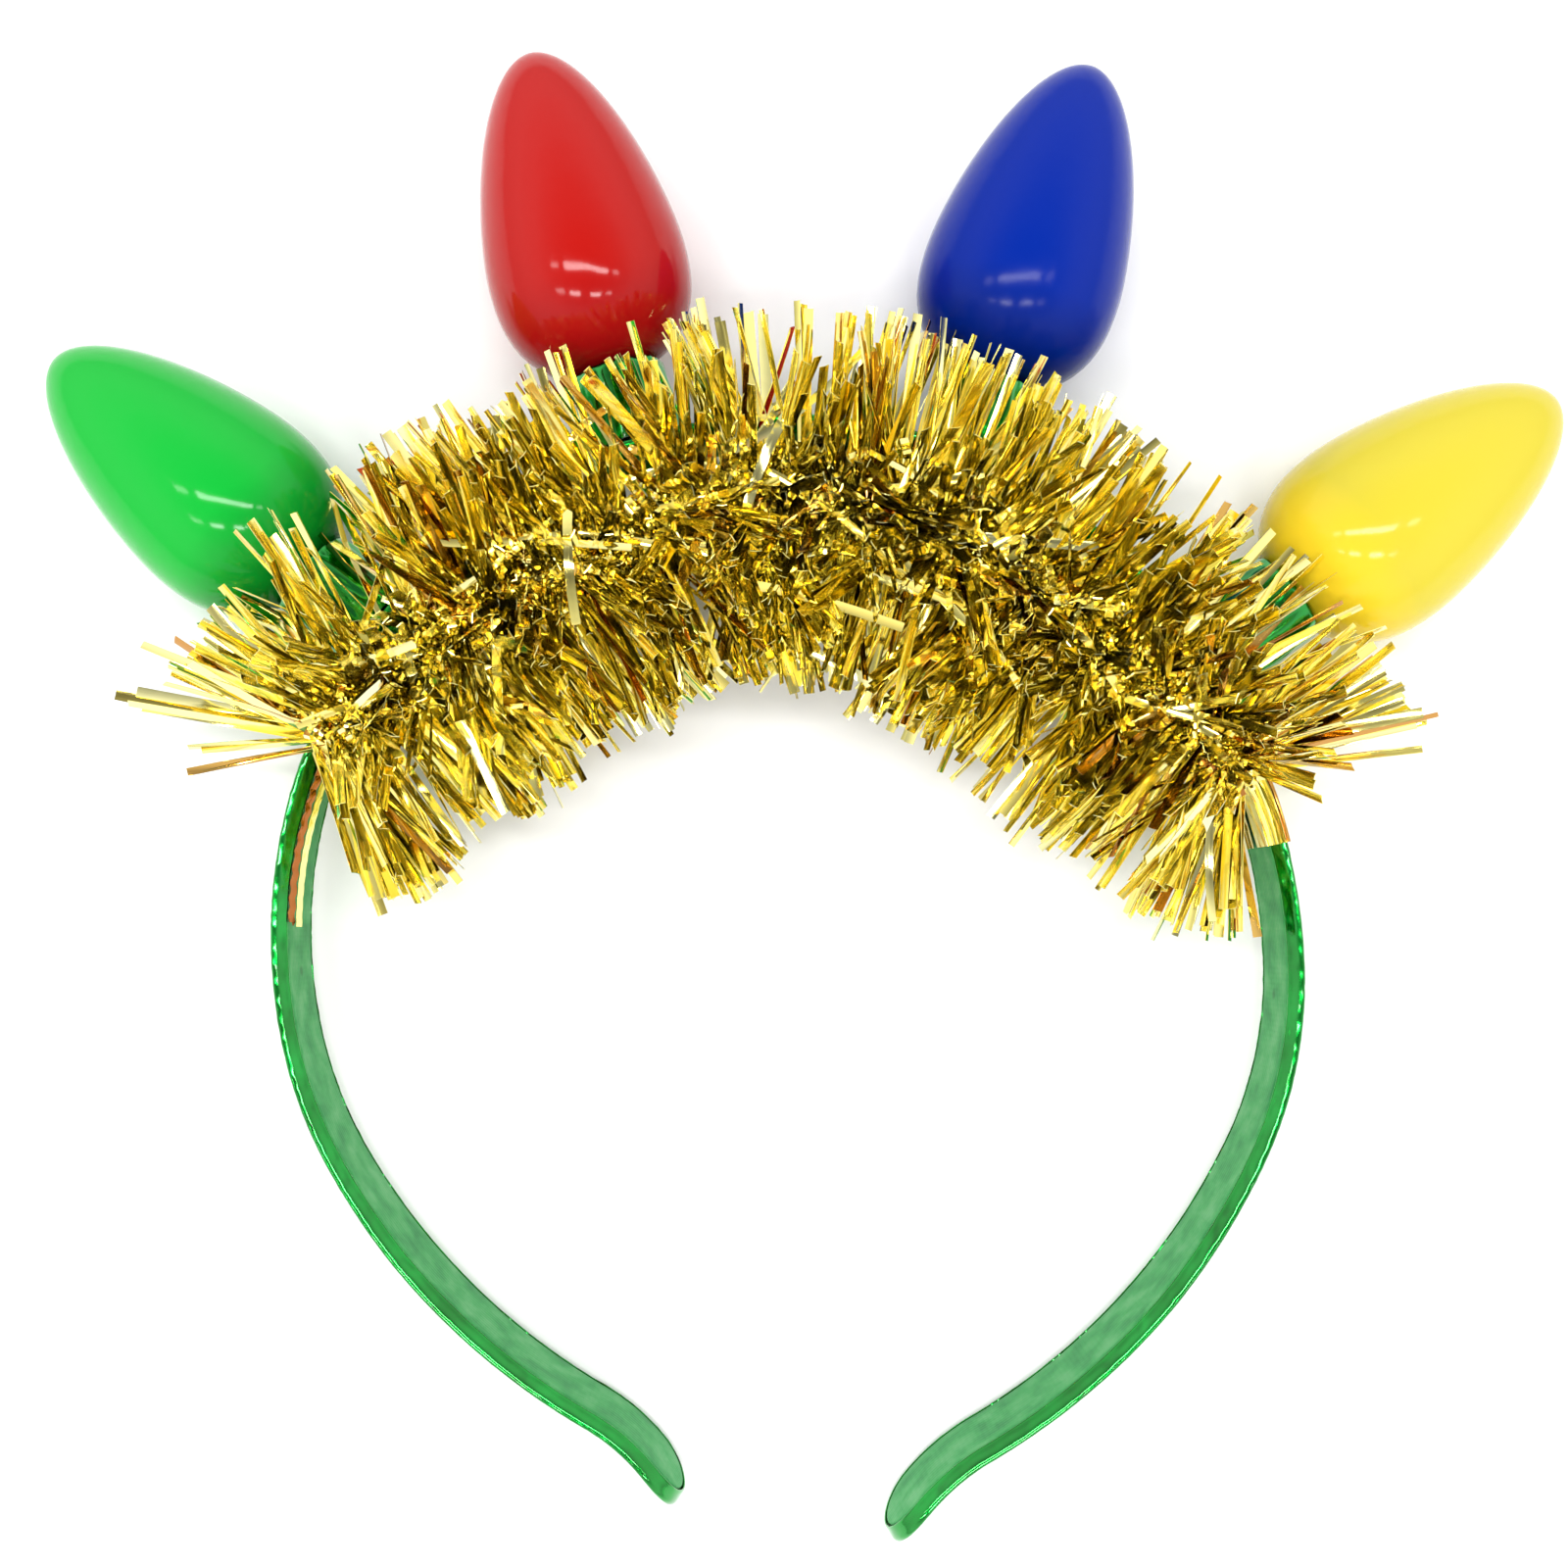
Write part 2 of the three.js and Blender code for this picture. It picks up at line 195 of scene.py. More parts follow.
# Locks there are thinned where the cosine of their turn from the outer side is more than this.
bare_side = 0.5

# A strip's section: shares of its width across and of its thickness up, and 1 where the fold sinks it.
strip_section = ((-0.5, 0.5, 0), (0, 0.5, 1), (0.5, 0.5, 0), (0.5, -0.5, 0), (0, -0.5, 1), (-0.5, -0.5, 0))

# Stray strips that the photograph shows on top of the garland: x, y, turn in degrees and length.
stray_height = 18
seen_strays = (
    (-38.4, -20.0, 4, 17),
    (-50.6, -34.3, 17, 20),
    (35.3, -34.2, 13, 16),
    (15.4, -11.0, 9, 14),
    (-39.2, -44.3, -61, 18),
    (-45.8, -38.2, -109, 11),
    (50.5, -57.9, -89, 12),
)

# More strays at random: how many, where along the core, how far beside and above it, their turn in radians,
# and their share of strip_length.
stray_count = 56
stray_shares = (0.05, 0.95)
stray_beside = 5.5
stray_heights = (3, 9)
stray_turns = (-1.1, 1.1)
stray_lengths = (0.5, 0.95)

# All strays: how much they slope, bow and tumble, and their widths.
stray_slope = 0.08
stray_bow = 0.8
stray_tumble = 0.5
stray_widths = (0.9, 1.3)

# Crimped scraps round the core: how many, their turn round it, their sizes, how high their folds stand, how
# flat they lie, how far their faces turn from up, and how far they lie from the core.
scrap_count = 1700
scrap_rows = 5
scrap_turns = (-0.2, math.pi + 0.2)
scrap_lengths = (1.2, 3.0)
scrap_widths = (0.55, 1.1)
scrap_folds = (0.15, 0.4)
scrap_lie = (1, 1, 0.35)
scrap_tumble = 0.7
scrap_start = 1
scrap_reach = 3.5

# Foil strips of the wrap: depth below the outer face, place across the band, turn of the strip's face from
# up to inwards in degrees, width and tone.
wrap_strips = (
    # The first strip's coppery tone is painted shade, a painted reflection of the dark room along the wrap's
    # outer edge.
    (0.1, 6.85, 28, 0.55, 0.03),
    (0.95, 6.9, 42, 1.1, 0.95),
    (1.95, 6.6, 54, 1.0, 0.5),
    (2.55, 5.95, 62, 0.9, 0.4),
    (2.95, 4.9, 82, 1.7, 0.6),
    (2.95, 3.4, 84, 1.7, 0.4),
    (2.95, 1.9, 88, 1.7, 0.7),
    (2.95, -1.1, 90, 1.7, 0.5),
    (2.95, -2.7, 92, 1.7, 0.3),
    (2.95, -4.4, 90, 1.7, 0.8),
    (1.9, -6.9, 180, 1.2, 0.4),
    (0.6, -6.9, 180, 1.2, 0.6),
    (-0.18, -4.8, 270, 2.0, 0.5),
    (-0.18, -2.9, 268, 2.0, 0.7),
    (-0.18, -1.0, 271, 2.0, 0.4),
    (-0.18, 0.9, 272, 2.0, 0.8),
    (-0.18, 2.8, 269, 2.0, 0.5),
    (-0.18, 4.7, 270, 2.0, 0.3),
)

# The wrap starts so far inside the garland, stands off the band there by so much, over this length, and
# waves a little.
wrap_rows = 8
wrap_lead = 2.5
wrap_rise = (0.3, 1.0)
wrap_spread = 5
wrap_wave = 0.06

# The tail's strips: distance from the lining, place across the band, cut shorter by, height of the crimps,
# width and tone.
tail_strips = (
    (0.5, 5.3, 0.6, 0.14, 1.15, 0.0),
    (1.1, 3.8, 0, 0.04, 1.1, 0.7),
)

# How far the tail reaches past its length, how its faces look, how it climbs to the garland over its last
# stretch, and where its crimps end.
tail_rows = 40
tail_overhang = 2.6
tail_face = {"inward": 0.9, "up": 0.44}
tail_climb = {"height": 2.6, "length": 5, "power": 1.5}
tail_calm = 4
crimp_step = 2.1

# Arcs of the outer face from the crown to a leg tip, each a share of hoop_radius and a sweep in degrees.
# A negative sweep turns outwards.
left_arcs = ((1.0, 104), (0.865, 19), (1.365, 29), (0.4, -34.5))
right_arcs = ((0.925, 45), (1.185, 42), (0.8, 28), (1.34, 33.5), (0.46, -32))

# Bulbs: seat is a share of hoop_radius along the outer face, lean is in degrees from +y towards +x, height
# is a share of socket_height, rough and gloss are the skin's roughness and specular level, and the colours
# are those of the skin and towards the neck. The neck colour is painted shade where it is darker, for green,
# red and blue, and painted light where it is lighter, for yellow, making up for the shade from the tinsel.
bulbs = {
    "green": {"seat": -0.983, "lean": -51.9, "height": 0.99, "rough": 0.1, "gloss": 0.2,
              "skin": "#12ac36", "neck": "#098327"},
    "red": {"seat": -0.343, "lean": -16.8, "height": 0.87, "rough": 0.1, "gloss": 0.2,
            "skin": "#ad1510", "neck": "#a00c11"},
    "blue": {"seat": 0.329, "lean": 16.5, "height": 0.92, "rough": 0.17, "gloss": 0.11,
             "skin": "#022590", "neck": "#031c70"},
    "yellow": {"seat": 0.962, "lean": 52.2, "height": 1.21, "rough": 0.11, "gloss": 0.2,
               "skin": "#cfbf36", "neck": "#fed828"},
}

# The garland's core: shares of garland_reach along the outer face, and of garland_inset inwards from it.
garland_route = ((0, 0.9), (0.28, 1.0), (0.5, 1.02), (0.7, 0.85), (0.86, 0.5), (1, 0.3))

# Where the hoop lies: tipped about x by rest_tilt.
rest_mount = next(m for m in frame["record"]["mounts"] if m["name"] == "head_rest_crown")
rest_tilt = math.atan(rest_mount["axis"][2] / rest_mount["axis"][1])
rest_turn = Matrix.Rotation(rest_tilt, 4, "X")


def find_rest():
    """The turn and shift that lay the hoop down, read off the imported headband's crown and middle height."""
    corners = np.array([v.co for v in frame["nodes"]["headband"].data.vertices]) / mm
    level = corners @ np.array(rest_turn.to_3x3())
    crown = level[level[:, 1].argmax()]
    crown[2] = (level[:, 2].min() + level[:, 2].max()) / 2
    return rest_turn @ Matrix.Translation(Vector(crown))


rest = find_rest()
to_metres = Matrix.Scale(mm, 4)


# Small tools for shaping.

def edit(obj):
    """Opens one object for editing, with nothing else selected."""
    bpy.ops.object.select_all(action="DESELECT")
    bpy.context.view_layer.objects.active = obj
    obj.select_set(True)
    bpy.ops.object.mode_set(mode="EDIT")


def leave_edit():
    bpy.ops.object.mode_set(mode="OBJECT")


def started(name):
    """Names the primitive that was just added and opens it for editing."""
    obj = bpy.context.active_object
    obj.name = name
    obj.data.name = name
    edit(obj)
    return obj


def points_of(obj):
    """An object's corners as rows of x, y and z."""
    places = np.empty(3 * len(obj.data.vertices))
    obj.data.vertices.foreach_get("co", places)
    return places.reshape(-1, 3)


def set_points(obj, places):
    obj.data.vertices.foreach_set("co", np.ascontiguousarray(places, dtype=np.float32).ravel())
    obj.data.update()


def keep_pattern(obj, name):
    """Stores each corner's place as it is now, for a pattern that follows the piece when it is bent."""
    layer = obj.data.attributes.new(name, "FLOAT_VECTOR", "POINT")
    layer.data.foreach_set("vector", points_of(obj).astype(np.float32).ravel())


def smooth(obj, angle=math.radians(40)):
    """Shades a piece smooth, except where its faces meet at more than the angle."""
    bpy.ops.object.select_all(action="DESELECT")
    bpy.context.view_layer.objects.active = obj
    obj.select_set(True)
    bpy.ops.object.shade_smooth_by_angle(angle=angle)


def lay_down(obj, material, slot, *nodes):
    """Lays a finished piece in its resting place, gives it its material, and hides the imported parts it
    replaces.
    """
    obj.data.transform(to_metres @ rest)
    obj.data.materials.clear()
    obj.data.materials.append(material)
    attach(obj, "root")
    if nodes:
        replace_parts(obj, *nodes)
    return obj


# The course of the hoop's outer face.

def lay_stations():
    """Fine stations of the outer face from tip to tip: distance from the crown, x, y and heading."""
    def bends(arcs):
        radii = hoop_radius * np.array([share for share, _ in arcs])
        sweeps = np.radians([sweep for _, sweep in arcs])
        return np.cumsum(np.abs(sweeps) * radii), -np.sign(sweeps) / radii

    def walk(arcs, side):
        ends, turns = bends(arcs)
        steps = int(round(ends[-1] / station_step))
        reach = ends[-1] * np.arange(steps + 1) / steps
        middles = (reach[1:] + reach[:-1]) / 2
        turn = turns[np.searchsorted(ends, middles).clip(0, len(turns) - 1)] * np.diff(reach)
        heading = side * np.concatenate([[0], np.cumsum(turn)])
        course = (heading[1:] + heading[:-1]) / 2
        x = side * np.concatenate([[0], np.cumsum(np.diff(reach) * np.cos(course))])
        y = side * np.concatenate([[0], np.cumsum(np.diff(reach) * np.sin(course))])
        return np.array([side * reach, x, y, heading])

    left = walk(left_arcs, -1)[:, :0:-1]
    right = walk(right_arcs, 1)
    return np.concatenate([left, right], axis=1)


stations = lay_stations()
left_end, right_end = stations[0, 0], stations[0, -1]


def on_hoop(along, depth, across):
    """Places at distances along the outer face, below it and across it."""
    x, y, heading = (np.interp(along, stations[0], row) for row in stations[1:])
    raised = np.clip(np.add(across, half_width) / band_width, 0, 1)
    away = np.abs(along)
    thin = np.interp(away, leg_thinning["along"], leg_thinning["share"])
    depth = depth * (1 - thin * raised) - np.interp(away, leg_flare["along"], leg_flare["out"]) * raised
    return np.stack([x + depth * np.sin(heading), y - depth * np.cos(heading), across + 0 * x], axis=-1)


def off_hoop(places, step=3):
    """Distance along the outer face, depth below it and place across it, for an array of places."""
    track = stations[:, ::step]
    spread = (places[:, :1] - track[1]) ** 2 + (places[:, 1:2] - track[2]) ** 2
    nearest = spread.argmin(axis=1)
    along, x, y, heading = track[:, nearest]
    away_x, away_y = places[:, 0] - x, places[:, 1] - y
    depth = away_x * np.sin(heading) - away_y * np.cos(heading)
    along = along + away_x * np.cos(heading) + away_y * np.sin(heading)
    return along, depth, places[:, 2], heading


def bend_strip(obj):
    """Bends a strip that was made flat, along x with its outer face up, round the hoop."""
    keep_pattern(obj, "flat")
    flat = points_of(obj)
    set_points(obj, on_hoop(flat[:, 0], -flat[:, 2], -flat[:, 1]))


# The band and its lining are plates with round ends, made flat and then bent.

def plate_ring(margin, height, side_points=640, end_points=22):
    """Points round the band's outline from tip to tip, moved in by a margin, at a height."""
    reach = half_width - margin
    side = np.linspace(left_end + half_width, right_end - half_width, side_points)
    turn = np.linspace(math.pi / 2, -math.pi / 2, end_points + 2)[1:-1]
    x = np.concatenate([side, side[-1] + reach * np.cos(turn), side[::-1], side[0] - reach * np.cos(turn)])
    edge = np.full(side_points, reach)
    y = np.concatenate([edge, reach * np.sin(turn), -edge, -reach * np.sin(turn)])
    return np.stack([x, y, np.full_like(x, height)], axis=1)


def flat_plate(name, outline):
    """A closed plate from rows of margin and height, from one face's middle line round to the other's."""
    rings = np.array([plate_ring(margin, height) for margin, height in outline])
    rows, count = rings.shape[:2]
    spot = np.arange(count)
    beside = (spot + 1) % count
    walls = np.stack([spot, count + spot, count + beside, beside], axis=1)
    faces = [walls + r * count for r in range(rows - 1)]
    mesh = bpy.data.meshes.new(name)
    mesh.from_pydata(rings.reshape(-1, 3), [], np.concatenate(faces))
    obj = bpy.data.objects.new(name, mesh)
    bpy.context.scene.collection.objects.link(obj)
    edit(obj)
    bpy.ops.mesh.select_all(action="SELECT")
    bpy.ops.mesh.remove_doubles(threshold=0.001)
    bpy.ops.mesh.normals_make_consistent(inside=False)
    leave_edit()
    return obj


def quarter(radius, margin, height, steps=6):
    """Rows of margin and height round a quarter of a circle, from a side wall to a face at that height."""
    turns = np.linspace(0, math.pi / 2, steps + 1)
    towards = math.copysign(1, radius)
    reach = abs(radius)
    foot = height - radius
    return [(margin + reach * (1 - math.cos(t)), foot + towards * reach * math.sin(t)) for t in turns]


def crinkled(places, normals, shares):
    """Moves the band's foil in and out by noise, each corner by its share of the crinkles' height."""
    moved = places.copy()
    for i, (x, y, z) in enumerate(places):
        spot = Vector((x / crinkle_grain[0], y / crinkle_grain[1], z / crinkle_grain[2]))
        crease = abs(noise.noise(spot)) + 0.5 * noise.noise(2.3 * spot)
        moved[i] += normals[i] * crinkle_height * (crease - 0.3) * shares[i]
    return moved


def make_headband(material):
    """The foil covered band, with a channel for the lining between its hems."""
    floor = channel_depth - band_thickness
    outline = [
        (half_width, 0), (half_width / 2, 0), (outer_round + 1, 0),
        *reversed(quarter(outer_round, 0, 0)),
        *[(margin, -depth) for margin, depth in edge_fall],
        (hem_width - hem_lip, -band_thickness), (hem_width, -band_thickness + hem_lip),
        (hem_width, floor), (half_width / 2, floor), (half_width, floor),
    ]
    obj = flat_plate("foil_band", outline)
    flat = points_of(obj)
    normals = np.array([v.normal for v in obj.data.vertices])
    calm = np.interp(np.abs(flat[:, 0]), crinkle_calm["along"], crinkle_calm["share"])
    set_points(obj, crinkled(flat, normals, calm))
    bend_strip(obj)
    smooth(obj)
    return lay_down(obj, material, "green_foil", "headband")


def make_lining(material):
    """The cloth tape in the band's channel, a gap clear of it all round, with soft edges."""
    margin = hem_width + gap
    back = channel_depth - gap - band_thickness
    outline = [
        (half_width, back), (half_width / 2, back), (margin, back),
        *quarter(-lining_round, margin, -band_thickness, steps=3),
        (half_width / 2, -band_thickness), (half_width, -band_thickness),
    ]
    obj = flat_plate("cloth_lining", outline)
    bend_strip(obj)
    smooth(obj)
    return lay_down(obj, material, "lining_cloth", "lining")


# Cups and bulbs are turned about y, with the cup's rim at the origin.

def seat_matrix(facts):
    """Where a cup's rim stands on the outer face, with y along its axis."""
    lean = math.radians(facts["lean"])
    outward = Vector((math.sin(lean), math.cos(lean), 0))
    foot = Vector(on_hoop(facts["seat"] * hoop_radius, 0, 0))
    rim = foot + outward * facts["height"] * socket_height
    return Matrix.Translation(rim) @ Matrix.Rotation(-lean, 4, "Z")


def bulb_outline(distance):
    """The bulb's radius at distances from its widest ring, positive towards the tip."""
    nose = distance > 0
    share = np.minimum(1, np.abs(distance) / np.where(nose, bulb_nose, heel_fade))
    power = np.where(nose, nose_curve["power"], heel_curve["power"])
    root = np.where(nose, nose_curve["root"], heel_curve["root"])
    return bulb_radius * (1 - share ** power) ** root


def turn_body(name, outline, sides):
    """Extrudes a corner along an outline of radius and height, then spins it round y into a closed body."""
    bpy.ops.mesh.primitive_plane_add(size=1)
    obj = started(name)
    bpy.ops.mesh.merge(type="CENTER")
    bpy.ops.transform.translate(value=(*outline[0], 0))
    for (r0, y0), (r1, y1) in zip(outline, outline[1:]):
        bpy.ops.mesh.extrude_region_move(TRANSFORM_OT_translate={"value": (r1 - r0, y1 - y0, 0)})
    bpy.ops.mesh.select_all(action="SELECT")
    bpy.ops.mesh.spin(steps=sides, angle=2 * math.pi, center=(0, 0, 0), axis=(0, 1, 0))
    bpy.ops.mesh.select_all(action="SELECT")
    bpy.ops.mesh.remove_doubles(threshold=0.005)
    bpy.ops.mesh.normals_make_consistent(inside=False)
    leave_edit()
    return obj


def make_bulb(name, facts, material):
    """A moulded bulb with a pointed nose and a neck that plugs into its cup."""
    nose_rows, heel_rows = 30, 12
    ring = gap + bulb_heel
    neck = socket_radius - socket_wall - gap
    nose = bulb_nose * np.sin(np.linspace(1, 0, nose_rows) * math.pi / 2)
    heel = -bulb_heel * np.linspace(0, 1, heel_rows)[1:]
    rows = np.concatenate([nose, heel])
    skin = [(float(r), float(ring + d)) for r, d in zip(bulb_outline(rows), rows)]
    shoulder = [(neck + neck_shoulder["out"], gap), (neck, gap - neck_shoulder["down"])]
    shoulder.append((neck, 2 * gap - socket_depth))
    obj = turn_body(f"moulded_bulb_{name}", [*skin, *shoulder, (0, 2 * gap - socket_depth)], 72)
    keep_pattern(obj, "turned")
    obj.data.transform(seat_matrix(facts))
    smooth(obj)
    return lay_down(obj, material, f"{name}_plastic", f"bulb_{name}")


def make_cup(name, facts, material):
    """A cup wrapped in foil that is gathered into pleats, cut at its foot to the band's outer face."""
    wall_rows, sides = 12, 96
    place = seat_matrix(facts)
    height = facts["height"] * socket_height
    inner = socket_radius - socket_wall
    falls = 1 - np.linspace(0, 1, wall_rows)[:-1]
    wall = [(socket_radius + socket_taper * fall, -height * fall) for fall in falls]
    rim = [(socket_radius - margin, -drop) for margin, drop in cup_rim]
    inside = [(inner, 0), (inner, -socket_depth), (0, -socket_depth)]
    obj = turn_body(f"foil_cup_{name}", [(0, -height), *wall, *rim, *inside], sides)
    keep_pattern(obj, "turned")
    places = points_of(obj)
    radius = np.hypot(places[:, 0], places[:, 2])
    angle = np.arctan2(places[:, 2], places[:, 0])
    outside = radius > inner + 0.5
    own_pleats = 10 * facts["seat"]
    for i in np.flatnonzero(outside):
        turned = pleats["round"] * np.array([math.cos(angle[i]), math.sin(angle[i])])
        spot = Vector((*turned, places[i, 1] / pleats["down"] + own_pleats))
        pleat = abs(noise.noise(spot)) + 0.5 * abs(noise.noise(pleats["finer"] * spot))
        places[i, [0, 2]] *= 1 + pleats["height"] * (pleat - pleats["middle"]) / radius[i]
    local = np.array(place)
    x_ways, y_ways = local[:2, 0], local[:2, 1]
    share = np.clip(-places[:, 1] / height, 0, 1)
    spots = local[:2, 3] + places[:, :1] * x_ways - height * y_ways
    _, depth, _, _ = off_hoop(np.column_stack([spots, 0 * radius]))
    places[:, 1] += np.where(places[:, 1] < -socket_depth - 0.1, share, 0) * (depth + gap)
    set_points(obj, places)
    obj.data.transform(place)
    smooth(obj, math.radians(55))
    return lay_down(obj, material, "green_foil", f"socket_{name}")


# The tinsel: strips that stand out all round a core, and bend where they meet a neighbour.

def core_course(count):
    """Places and headings along the garland's core, evenly spaced from its left end to its right end."""
    side = [(share * garland_reach, inset * garland_inset) for share, inset in garland_route]
    knots = [(-a, d) for a, d in reversed(side)] + side[1:]
    along, depth = np.array(knots).T
    fine = np.linspace(along[0], along[-1], 400)
    smooth_depth = np.interp(fine, along, depth)
    for _ in range(60):
        smooth_depth[1:-1] = (smooth_depth[:-2] + smooth_depth[1:-1] + smooth_depth[2:]) / 3
    line = on_hoop(fine, smooth_depth, core_height)
    walked = np.concatenate([[0], np.cumsum(np.linalg.norm(np.diff(line, axis=0), axis=1))])
    spots = np.linspace(0, walked[-1], count)
    places = np.stack([np.interp(spots, walked, line[:, k]) for k in range(3)], axis=1)
    ways = np.gradient(places, axis=0)
    return places, ways / np.linalg.norm(ways, axis=1, keepdims=True)


def push_clear(places, margin):
    """Moves places that lie inside a neighbour, or nearer to it than the margin, out to its skin."""
    for facts in bulbs.values():
        turn = np.array(seat_matrix(facts))
        local = (places - turn[:3, 3]) @ turn[:3, :3]
        height = facts["height"] * socket_height
        ring = gap + bulb_heel
        reach = bulb_outline(np.clip(local[:, 1] - ring, -bulb_heel, bulb_nose)) + margin
        cup = socket_radius + socket_taper + pleat_room + margin
        radius = np.hypot(local[:, 0], local[:, 2]) + 1e-9
        by_bulb = (local[:, 1] > gap) & (local[:, 1] < ring + bulb_nose)
        by_cup = (local[:, 1] <= gap) & (local[:, 1] > -height - margin)
        wanted = np.where(by_bulb, reach, np.where(by_cup, cup, 0))
        grow = np.maximum(1, wanted / radius)
        local[:, 0] *= grow
        local[:, 2] *= grow
        places = local @ turn[:3, :3].T + turn[:3, 3]
    along, depth, across, heading = off_hoop(places)
    wrap_end = garland_reach + wrap_length
    in_wrap = (along > garland_reach - wrap_margin) & (along < wrap_end + wrap_margin)
    skin = margin + np.where(in_wrap, wrap_room, 0)
    inwards = band_thickness + skin - depth
    outwards = depth + skin
    upwards = half_width + skin - np.abs(across)
    inside = (inwards > 0) & (outwards > 0) & (upwards > 0)
    least = np.minimum(np.minimum(inwards, outwards), upwards)
    deeper = np.where(inside & (least == inwards), inwards, 0)
    deeper = np.where(inside & (least == outwards), -outwards, deeper)
    across_move = np.where(inside & (least == upwards), upwards * np.sign(across), 0)
    places = places + np.stack([deeper * np.sin(heading), -deeper * np.cos(heading), across_move], axis=1)
    laid = np.array(rest)
    floor_height = places @ laid[2, :3] + laid[2, 3]
    return places + np.outer(np.maximum(0, margin - floor_height), laid[2, :3])


def grow_strips(roots, ways, lengths, steps=16):
    """The middle lines of strips that start straight, and slide off what they meet."""
    lines = [roots]
    stride = (lengths / steps)[:, None]
    for _ in range(steps):
        ahead = push_clear(lines[-1] + ways * stride, strip_clearance)
        gone = ahead - lines[-1]
        gone /= np.linalg.norm(gone, axis=1, keepdims=True) + 1e-12
        lines.append(lines[-1] + gone * stride)
        ways = strip_way["own"] * ways + strip_way["pushed"] * gone
        ways /= np.linalg.norm(ways, axis=1, keepdims=True)
    return np.array(lines[::4]).transpose(1, 0, 2)


def strip_mesh(name, lines, flats, widths, shades):
    """One mesh of closed foil strips, each folded a little along its middle line. It keeps a tone for each
    strip, and each corner's place across and along its strip."""
    count, rows = lines.shape[:2]
    ways = np.gradient(lines, axis=1)
    ways /= np.linalg.norm(ways, axis=2, keepdims=True) + 1e-12
    sides = np.cross(ways, flats)
    sides /= np.linalg.norm(sides, axis=2, keepdims=True) + 1e-12
    faces_up = np.cross(sides, ways)
    section = np.array(strip_section)
    wide = section[:, 0] * widths[:, None, None] + np.zeros((count, rows, 1))
    high = section[:, 1] * strip_thickness - section[:, 2] * strip_fold * widths[:, None, None]
    corners = lines[:, :, None] + wide[..., None] * sides[:, :, None]
    corners = corners + high[..., None] * faces_up[:, :, None]
    around = len(section)
    ring = np.arange(around)
    beside = (ring + 1) % around
    wall = np.stack([ring, beside, beside + around, ring + around], axis=1)
    walls = [wall + r * around for r in range(rows - 1)]
    front = np.array([(5, 4, 1, 0), (4, 3, 2, 1)])
    back = front[:, ::-1] + (rows - 1) * around
    one = np.concatenate([*walls, front, back])
    faces = (one[None] + (np.arange(count) * rows * around)[:, None, None]).reshape(-1, 4)
    mesh = bpy.data.meshes.new(name)
    mesh.from_pydata(corners.reshape(-1, 3), [], faces)
    layer = mesh.attributes.new("shade", "FLOAT", "POINT")
    layer.data.foreach_set("value", np.repeat(shades, rows * around).astype(np.float32))
    steps = np.linalg.norm(np.diff(lines, axis=1), axis=2)
    run = np.concatenate([np.zeros((count, 1)), np.cumsum(steps, axis=1)], axis=1)
    own = 9.0 * np.arange(count)[:, None, None]
    pattern = np.stack(np.broadcast_arrays(wide, run[:, :, None], own), axis=-1)
    layer = mesh.attributes.new("slit", "FLOAT_VECTOR", "POINT")
    layer.data.foreach_set("vector", pattern.astype(np.float32).ravel())
    obj = bpy.data.objects.new(name, mesh)
    bpy.context.scene.collection.objects.link(obj)
    smooth(obj, math.radians(25))
    return obj


def draw_shades(rng, count):
    """A tone for each strip from 0, copper, to 1, pale gold."""
    copper = rng.random(count) < copper_share
    return np.where(copper, rng.uniform(*copper_tones, count), rng.uniform(*gold_tones, count))


def core_frame(share):
    """At shares of the core's length: its place, its heading, and the way that points out of the hoop."""
    places, ways = core_course(600)
    at = (np.clip(share, 0, 1) * 599).astype(int)
    return places[at], ways[at], np.cross([0.0, 0.0, 1.0], ways[at])


def spread_locks(rng, end):
    """For each lock on one half of the core, with the end's thick locks last: its turn round the core, share
    of the core's length, lean, number of strips and reach."""
    back = end_gap[end]
    number = np.arange(lock_count)
    turn = (number * lock_turn + rng.normal(0, lock_scatter["turn"], lock_count)) % (2 * math.pi)
    share = back + (number + rng.random(lock_count)) / lock_count * (0.5 - back)
    lean = rng.normal(0, lock_scatter["lean"], lock_count)
    reach = rng.uniform(*lock_scatter["reach"], lock_count)
    strips = np.full(lock_count, strips_in_lock)
    for middle, near, whole in bare_stretches:
        away = np.abs((share if end == "left" else 1 - share) - middle)
        strips[(away < near) & (np.cos(turn) > bare_side) & (number % whole > 0)] = 1
    thick = np.array(end_locks[end])
    turn = np.concatenate([turn, np.radians(thick[:, 0])])
    share = np.concatenate([share, np.full(len(thick), back)])
    lean = np.concatenate([lean, -thick[:, 1]])
    strips = np.concatenate([strips, thick[:, 2].astype(int)])
    reach = np.concatenate([reach, thick[:, 3]])
    return turn, share, lean, strips, reach


